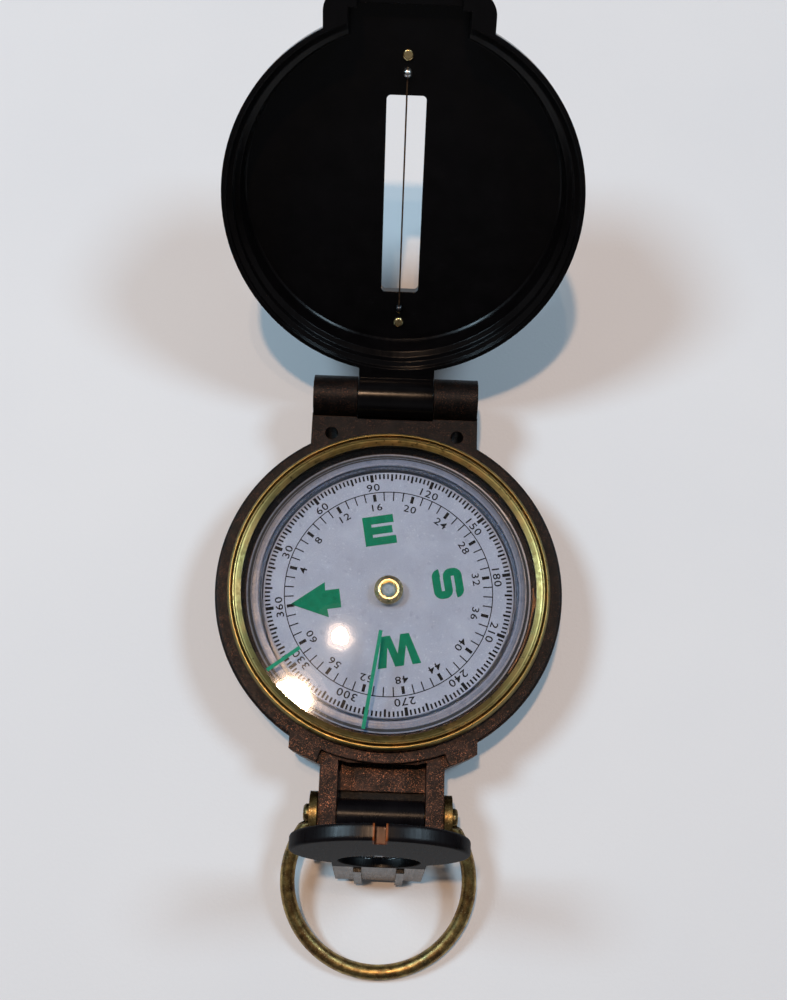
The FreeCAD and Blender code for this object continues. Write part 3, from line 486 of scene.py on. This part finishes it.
# Each letter's distance from the dial's centre, and the S's stroke and bends.
EAST_AT, SOUTH_AT, WEST_AT, ARROW_AT = 10.7, 10.0, 9.9, 12.2
ARROW_LEAN = 0.8
S_STROKE = 1.34
S_BEND = 0.70
BEND_STEPS = 7


def radial(turn):
    """The across and outward directions of print that stands at this angle, tops outward."""
    angle = math.radians(turn)
    return Vector((math.sin(angle), -math.cos(angle))), Vector((math.cos(angle), math.sin(angle)))


def placed(points, turn, centre=0.0):
    """Points drawn upright, moved out to a distance from the dial's centre at this angle."""
    across, up = radial(turn)
    return [tuple(across * x + up * (centre + y)) for x, y in points]


class Print:
    """Thin raised print on the dial, gathered into one mesh of closed shapes."""

    def __init__(self):
        self.bm = bmesh.new()

    def prism(self, outline):
        low = [self.bm.verts.new((x, y, PRINT_LOW)) for x, y in outline]
        high = [self.bm.verts.new((x, y, PRINT_HIGH)) for x, y in outline]
        self.bm.faces.new(low[::-1])
        self.bm.faces.new(high)
        for i in range(len(outline)):
            j = (i + 1) % len(outline)
            self.bm.faces.new((low[i], low[j], high[j], high[i]))

    def band(self, radius, width):
        """A flat ring around the dial's centre."""
        inner, outer = radius - width / 2, radius + width / 2
        turns = [2 * math.pi * i / BAND_SIDES for i in range(BAND_SIDES)]
        section = ((inner, PRINT_LOW), (outer, PRINT_LOW), (outer, PRINT_HIGH), (inner, PRINT_HIGH))
        loops = [[self.bm.verts.new((r * math.cos(t), r * math.sin(t), z)) for t in turns]
                 for r, z in section]
        for first, second in zip(loops, loops[1:] + loops[:1]):
            for i in range(BAND_SIDES):
                j = (i + 1) % BAND_SIDES
                self.bm.faces.new((first[i], first[j], second[j], second[i]))

    def stroke(self, path, width):
        """A ribbon of one width along a path, as one prism."""
        left, right = [], []
        for i, (x, y) in enumerate(path):
            ahead, behind = path[min(i + 1, len(path) - 1)], path[max(i - 1, 0)]
            along = Vector((ahead[0] - behind[0], ahead[1] - behind[1])).normalized()
            left.append((x - along.y * width / 2, y + along.x * width / 2))
            right.append((x + along.y * width / 2, y - along.x * width / 2))
        self.prism(right + left[::-1])

    def tick(self, turn, inner, outer, width):
        half = width / 2
        corners = [(-half, inner), (half, inner), (half, outer), (-half, outer)]
        self.prism(placed(corners, turn)[::-1])

    def text(self, words, turn, centre, height):
        """Numerals of this height, stretched sideways, at this distance from the dial's centre."""
        curve = bpy.data.curves.new("words", "FONT")
        curve.body = words
        curve.align_x = "CENTER"
        curve.resolution_u = 3
        curve.space_character = NUMERAL_SPACING
        # any thickness will do: it only tells the top from the bottom
        curve.extrude = 0.1
        curve.offset = NUMERAL_WEIGHT
        holder = bpy.data.objects.new("words", curve)
        scene.collection.objects.link(holder)
        bpy.context.view_layer.update()
        mesh = bpy.data.meshes.new_from_object(holder)
        tops = [v.co.y for v in mesh.vertices]
        size = height / (max(tops) - min(tops))
        middle = (max(tops) + min(tops)) / 2
        across, up = radial(turn)
        for v in mesh.vertices:
            spot = across * (v.co.x * size * NUMERAL_STRETCH) + up * (centre + (v.co.y - middle) * size)
            v.co = (spot.x, spot.y, PRINT_HIGH if v.co.z > 0 else PRINT_LOW)
        self.bm.from_mesh(mesh)
        bpy.data.objects.remove(holder)
        bpy.data.curves.remove(curve)
        bpy.data.meshes.remove(mesh)

    def put(self, name, look):
        """Turn the print into a piece that rides on the dial."""
        bmesh.ops.recalc_face_normals(self.bm, faces=self.bm.faces)
        bmesh.ops.scale(self.bm, vec=(MM, MM, MM), verts=self.bm.verts)
        mesh = bpy.data.meshes.new(name)
        self.bm.to_mesh(mesh)
        self.bm.free()
        mesh.materials.append(look.material)
        piece = bpy.data.objects.new(name, mesh)
        scene.collection.objects.link(piece)
        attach(piece, "dial")


def tick_size(mark, kinds):
    """Length and width of the coarsest kind of tick that falls on this mark."""
    return next((length, width) for every, length, width in kinds if mark % every == 0)


def bend(centre_x, centre_y, start, end):
    """An arc of one of the S's bends, as points."""
    turns = [math.radians(start + (end - start) * i / BEND_STEPS) for i in range(BEND_STEPS + 1)]
    return [(centre_x + S_BEND * math.cos(t), centre_y + S_BEND * math.sin(t)) for t in turns]


scales = Print()
for bearing in range(0, 360, DEGREE_STEP):
    length, width = tick_size(bearing, DEGREE_TICKS)
    scales.tick(NORTH_TURN - bearing, DEGREE_RIM - length, DEGREE_RIM, width)
scales.band(LINE_RADIUS, LINE_WIDTH)
for mark in range(PARTS):
    length, width = tick_size(mark, PART_TICKS)
    scales.tick(NORTH_TURN - mark * 360 / PARTS, PART_FOOT, PART_FOOT + length, width)
scales.put("dial_scales", DARK_INK)

numerals = Print()
for bearing in range(30, 361, 30):
    numerals.text(str(bearing), NORTH_TURN - bearing, **DEGREE_NUMERALS)
for mark in range(4, 61, 4):
    numerals.text(str(mark), NORTH_TURN - mark * 360 / PARTS, **PART_NUMERALS)
numerals.put("dial_numerals", DARK_INK)

letters = Print()
letter_e = [(-2.65, -2.55), (2.65, -2.55), (2.65, -1.15), (-1.25, -1.15), (-1.25, -0.65), (2.2, -0.65),
            (2.2, 0.65), (-1.25, 0.65), (-1.25, 1.15), (2.6, 1.15), (2.6, 2.55), (-2.65, 2.55)]
letters.prism(placed(letter_e, NORTH_TURN - 90, EAST_AT))
letter_w = [(-3.6, 2.6), (-2.15, 2.6), (-1.55, -0.7), (-0.72, 2.6), (0.72, 2.6), (1.55, -0.7), (2.15, 2.6),
            (3.6, 2.6), (2.3, -2.6), (0.85, -2.6), (0, 0.5), (-0.85, -2.6), (-2.3, -2.6)]
letters.prism(placed(letter_w, NORTH_TURN - 270, WEST_AT))
letter_s = (bend(1.25, 1.15, 0, 90) + bend(-1.15, 1.15, 90, 180)
            + bend(-1.15, S_BEND, 180, 270) + bend(1.15, -S_BEND, 90, 0)
            + bend(1.15, -1.15, 0, -90) + bend(-1.25, -1.15, 270, 180))
letters.stroke(placed(letter_s, NORTH_TURN - 180, SOUTH_AT), S_STROKE)
arrow = [(0, 4.25), (-3.0, -1.85), (-1.6, -1.75), (-1.6, -4.1), (1.6, -4.1), (1.6, -1.75), (3.0, -1.85)]
letters.prism(placed(arrow, NORTH_TURN - ARROW_LEAN, ARROW_AT))
letters.put("dial_letters", GREEN_INK)


# ---------------------------------------------------------------- floor

FLOOR_REACH = 1500

paper = Look("floor_paper", IOR=1.3)
sheet = paper.ramp(paper.noise(60, 3.0), [(0.3, (0.735, 0.742, 0.770)), (0.7, (0.765, 0.768, 0.790))])
paper.wear(sheet, 0.85)
paper.bump((paper.noise(0.6, 3.0), 0.03))
floor_mesh = bpy.data.meshes.new("floor")
reach = FLOOR_REACH * MM
floor_mesh.from_pydata([(-reach, -reach, 0), (reach, -reach, 0), (reach, reach, 0), (-reach, reach, 0)], [],
                       [(0, 1, 2, 3)])
floor_mesh.materials.append(paper.material)
floor = bpy.data.objects.new("floor", floor_mesh)
scene.collection.objects.link(floor)


# ---------------------------------------------------------------- lamps and sky

TOP_SPOT = Vector((-90, 79, 920))
SMALL_SPOT = Vector((-44, 139, 901))

# The glow around a bright lamp: a stack of wider and weaker lamps, each (across, watts), just behind it.
GLOW = ((44, 0.070), (52, 0.045), (62, 0.028), (75, 0.020), (92, 0.013), (112, 0.008))
GLOW_GAP = Vector((0, 0, 2))

# The sky's brightness, by how far up a direction points: 0 is level and 1 is straight up.
SKY = ((0.32, 0.025), (0.60, 0.19), (0.84, 0.09), (1.0, 0.045))
SKY_TINT = (0.95, 0.96, 1.0, 1.0)


def lamp(name, spot, across, watts, colour):
    """A round area lamp, in millimetres and watts, that faces the object's origin."""
    data = bpy.data.lights.new(name, "AREA")
    data.shape = "DISK"
    data.size = across * MM
    data.energy = watts
    data.color = colour
    holder = bpy.data.objects.new(name, data)
    holder.location = Vector(spot) * MM
    holder.rotation_euler = (-Vector(spot)).to_track_quat("-Z", "Y").to_euler()
    scene.collection.objects.link(holder)


def glow(name, spot, size, power, colour):
    """The glow around the lamp at this spot, with its sizes and watts scaled."""
    for ring, (across, watts) in enumerate(GLOW):
        lamp(f"{name}_{ring}", spot + GLOW_GAP, across * size, watts * power, colour)


lamp("lamp_left", (-400, 130, 620), 190, 2.60, (0.60, 0.84, 1.0))
lamp("lamp_right", (400, 150, 640), 190, 2.05, (0.62, 0.84, 1.0))
lamp("lamp_top", TOP_SPOT, 38, 3.10, (1.0, 0.62, 0.37))
lamp("lamp_small", SMALL_SPOT, 17, 0.42, (1.0, 0.72, 0.50))
glow("lamp_glow_0", TOP_SPOT, 1.0, 1.0, (1.0, 0.70, 0.48))
glow("lamp_glow_1", SMALL_SPOT, 0.6, 0.18, (1.0, 0.74, 0.55))

world = bpy.data.worlds.new("studio")
world.use_nodes = True
backdrop = world.node_tree.nodes["Background"]
backdrop.inputs["Color"].default_value = SKY_TINT
sky = world.node_tree.nodes.new("ShaderNodeTexCoord")
split = world.node_tree.nodes.new("ShaderNodeSeparateXYZ")
fade = world.node_tree.nodes.new("ShaderNodeValToRGB")
fade.color_ramp.elements.new(0.5)
fade.color_ramp.elements.new(0.8)
for point, (where, level) in zip(fade.color_ramp.elements, SKY):
    point.position = where
    point.color = (level, level, level, 1.0)
world.node_tree.links.new(sky.outputs["Generated"], split.inputs[0])
world.node_tree.links.new(split.outputs["Z"], fade.inputs["Fac"])
world.node_tree.links.new(fade.outputs["Color"], backdrop.inputs["Strength"])
scene.world = world


# ---------------------------------------------------------------- camera

# The view fitted to the photograph: where the camera stands, and its turns about X, Y and Z in degrees.
CAMERA_SPOT = Vector((-0.2933, -37.788, 188.771))
CAMERA_TURNS = (16.6130, -0.7626, 1.9538)

camera_data = bpy.data.cameras.new("camera")
camera_data.sensor_width = 36.0
camera_data.lens = 39.6
camera_data.clip_start = 5 * MM
camera = bpy.data.objects.new("camera", camera_data)
facing = Euler([math.radians(turn) for turn in CAMERA_TURNS]).to_matrix().to_4x4()
camera.matrix_world = Matrix.Translation(CAMERA_SPOT * MM) @ facing
scene.collection.objects.link(camera)
scene.camera = camera
scene.view_settings.view_transform = "Standard"
